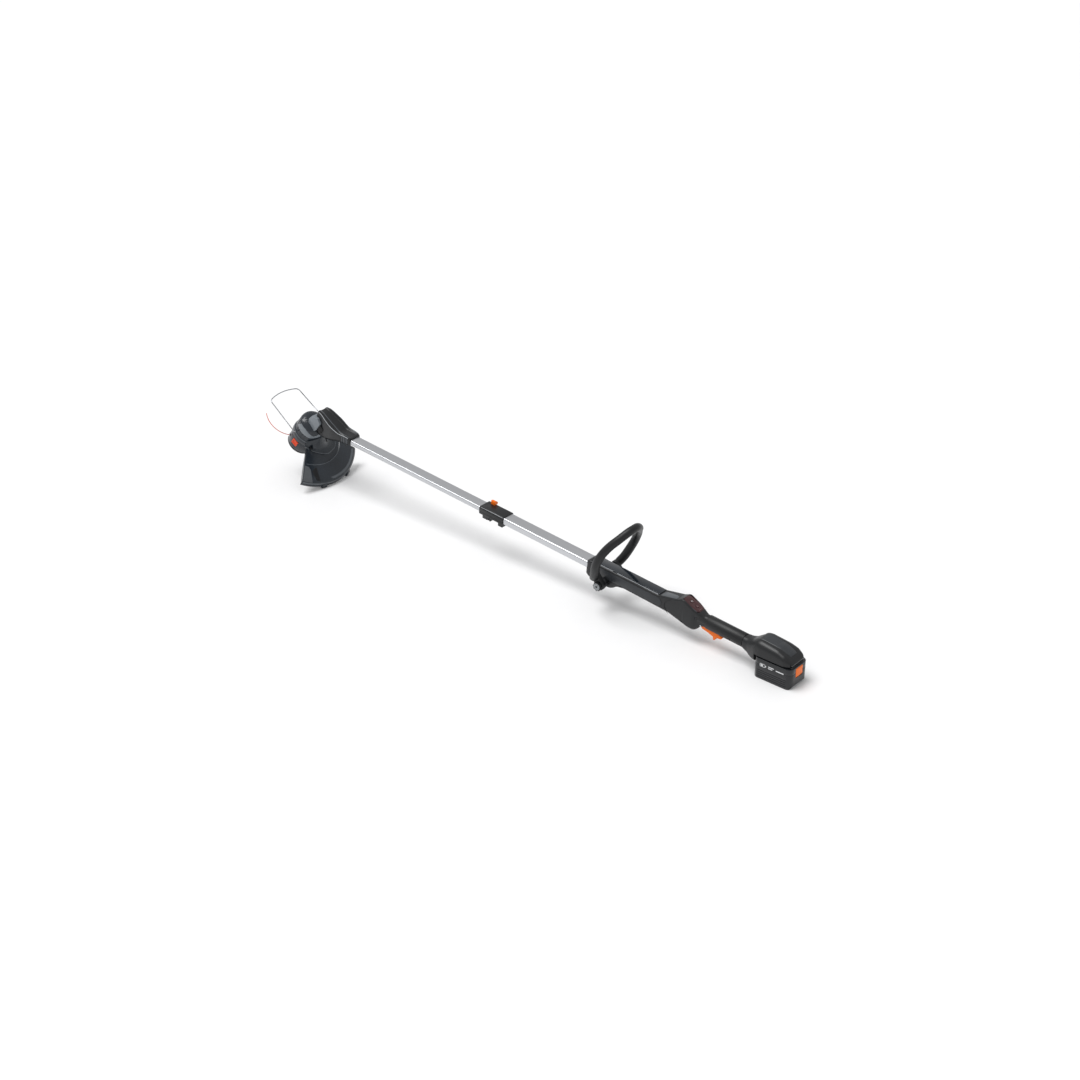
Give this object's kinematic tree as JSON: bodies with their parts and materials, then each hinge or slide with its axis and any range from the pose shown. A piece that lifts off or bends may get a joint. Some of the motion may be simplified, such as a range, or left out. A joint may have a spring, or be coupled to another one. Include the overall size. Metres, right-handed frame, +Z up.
{
  "type": "string trimmer",
  "caption": "Battery string trimmer with a telescopic shaft, loop front handle, tilted cutting head with guard and wire edge guide, and a rear grip above its battery.",
  "frame": {"origin": "middle of the underside of the battery, on the floor that the trimmer lies on", "axes": "+X from the cutting head towards the battery, +Z up, +Y to the side away from the clamp knob"},
  "size_m": [1.8097, 0.2311, 0.2579],
  "materials": {
    "shell": "fine moulded texture",
    "gloss_cover": "polished",
    "keypad": "smooth film",
    "soft_grip": "matt",
    "alloy": "satin anodised",
    "steel": "plated",
    "copper": "drawn",
    "nylon": "natural",
    "orange": "satin",
    "red_orange": "satin",
    "battery_plastic": "satin",
    "guard_plastic": "semi-gloss",
    "dark_plastic": "moulded",
    "board": "lacquered",
    "cell": "sleeved"
  },
  "bodies": {
    "handle": {"handle_shell_left": "shell", "handle_shell_right": "shell", "top_cover": "gloss_cover", "keypad_panel": "keypad", "grip_rubber": "soft_grip", "battery_bay": "shell", "terminal_block": "dark_plastic", "terminal_blades": "copper", "controller_board": "board", "trigger_switch": "dark_plastic", "trigger_pin": "steel", "housing_screws": "steel", "loop_bolt": "steel", "loop_nut": "steel", "outer_tube": "alloy", "sleeve_top": "shell", "sleeve_bottom": "shell", "sleeve_screws": "steel", "coiled_cable": "dark_plastic", "release_spring": "steel"},
    "lower_shaft": {"inner_tube": "alloy", "tube_bushing": "nylon", "motor_lead": "dark_plastic", "neck_shell": "shell", "head_cover": "shell", "motor_housing": "guard_plastic", "motor_stator": "copper", "motor_bearings": "steel", "tube_bolt": "steel", "head_screws": "steel", "cutting_guard": "guard_plastic", "guard_screws": "steel", "line_cutter": "steel", "cutter_screws": "steel"},
    "spool": {"motor_shaft": "steel", "motor_rotor": "steel", "cooling_fan": "dark_plastic", "spool_drum": "guard_plastic", "spool_cap": "dark_plastic", "line_eyelet": "steel", "cutting_line": "red_orange", "reel_spring": "steel"},
    "line_feed": {"bump_knob": "dark_plastic", "line_reel": "orange", "line_winding": "red_orange"},
    "near_latch": {"cap_latch_near": "red_orange"},
    "far_latch": {"cap_latch_far": "red_orange"},
    "edge_wire": {"wire_guard": "steel"},
    "tube_release": {"release_button": "orange"},
    "tube_brake": {"brake_shoe": "soft_grip"},
    "front_loop": {"loop_handle": "soft_grip"},
    "loop_clamp": {"clamp_knob": "dark_plastic"},
    "throttle": {"trigger": "orange"},
    "power_button": {"power_key": "keypad"},
    "mode_button": {"mode_key": "keypad"},
    "battery_pack": {"battery_case": "battery_plastic", "battery_lid": "battery_plastic", "battery_cells": "cell", "battery_board": "board"},
    "pack_latch": {"battery_release": "orange"}
  },
  "joints": [
    {"name": "shaft_telescope", "type": "slide", "parent": "handle", "child": "lower_shaft", "axis": [0.997, 0, -0.0771], "range_m": [0, 0.2]},
    {"name": "spool_spin", "type": "hinge", "parent": "lower_shaft", "child": "spool", "pos_m": [-1.6695, 0, 0.092], "axis": [0.6293, 0, 0.7771], "continuous": true},
    {"name": "bump_feed", "type": "slide", "parent": "spool", "child": "line_feed", "axis": [0.6293, 0, 0.7771], "range_m": [0, 0.005], "stiffness_N_per_m": 1500, "springref_m": -0.003, "deforming": ["reel_spring"]},
    {"name": "near_latch_press", "type": "slide", "parent": "spool", "child": "near_latch", "axis": [-0.0542, 0.9976, 0.0439], "range_m": [0, 0.0015], "stiffness_N_per_m": 3000, "springref_m": -0.0005},
    {"name": "far_latch_press", "type": "slide", "parent": "spool", "child": "far_latch", "axis": [0.0542, -0.9976, -0.0439], "range_m": [0, 0.0015], "stiffness_N_per_m": 3000, "springref_m": -0.0005},
    {"name": "edge_wire_fold", "type": "hinge", "parent": "lower_shaft", "child": "edge_wire", "pos_m": [-1.63099, 0, 0.15449], "axis": [0, 1, 0], "range_deg": [-25, 75]},
    {"name": "tube_release_press", "type": "slide", "parent": "handle", "child": "tube_release", "axis": [-0.0771, 0, -0.997], "range_m": [0, 0.003], "stiffness_N_per_m": 1500, "springref_m": -0.001, "deforming": ["release_spring"]},
    {"name": "tube_brake_lift", "type": "slide", "parent": "handle", "child": "tube_brake", "axis": [0.0771, 0, 0.997], "range_m": [0, 0.0012]},
    {"name": "loop_tilt", "type": "hinge", "parent": "handle", "child": "front_loop", "pos_m": [-0.52467, 0, 0.07123], "axis": [0, 1, 0], "range_deg": [-25, 30]},
    {"name": "loop_clamp_turn", "type": "hinge", "parent": "handle", "child": "loop_clamp", "pos_m": [-0.52467, 0, 0.07123], "axis": [0, 1, 0], "range_deg": [0, 360]},
    {"name": "throttle_pull", "type": "hinge", "parent": "handle", "child": "throttle", "pos_m": [-0.22757, 0, 0.0572], "axis": [0, -1, 0], "range_deg": [0, 10], "stiffness_Nm_per_rad": 1.5, "springref_deg": -5.73},
    {"name": "power_press", "type": "slide", "parent": "handle", "child": "power_button", "axis": [-0.4214, 0, -0.9069], "range_m": [0, 0.0008], "stiffness_N_per_m": 1200, "springref_m": -0.0004},
    {"name": "mode_press", "type": "slide", "parent": "handle", "child": "mode_button", "axis": [-0.4214, 0, -0.9069], "range_m": [0, 0.0008], "stiffness_N_per_m": 1200, "springref_m": -0.0004},
    {"name": "battery_slide", "type": "slide", "parent": "handle", "child": "battery_pack", "axis": [1, 0, 0], "range_m": [0, 0.12]},
    {"name": "pack_latch_press", "type": "slide", "parent": "battery_pack", "child": "pack_latch", "axis": [-1, 0, 0], "range_m": [0, 0.003], "stiffness_N_per_m": 1500, "springref_m": -0.001}
  ],
  "couplings": [
    {"joint": "tube_brake_lift", "follows": "tube_release_press", "ratio": 0.4}
  ]
}
